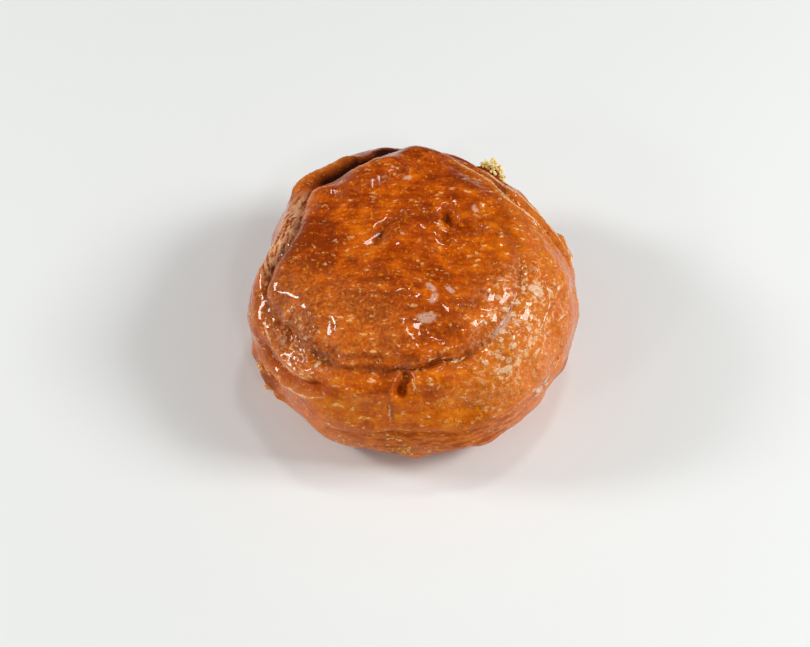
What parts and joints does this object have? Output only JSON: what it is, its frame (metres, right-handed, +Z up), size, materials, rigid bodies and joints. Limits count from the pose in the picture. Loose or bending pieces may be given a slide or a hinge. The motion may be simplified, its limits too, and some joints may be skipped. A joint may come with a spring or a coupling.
{
  "type": "glazed apple fritter",
  "caption": "Round coiled pastry with a folded, pitted top, deep seams between its turns, a lip round its side and a flat underside to rest on.",
  "frame": {"origin": "on the surface it rests on, under the middle of its plan", "axes": "+Z up through the coil, -Y towards the side that shows the upright pit"},
  "size_m": [0.1019, 0.1024, 0.0519],
  "materials": {
    "glazed_crust": "golden brown fried crust under a thin, glossy sugar glaze"
  },
  "bodies": {
    "root": {"fritter": "glazed_crust"}
  },
  "joints": []
}
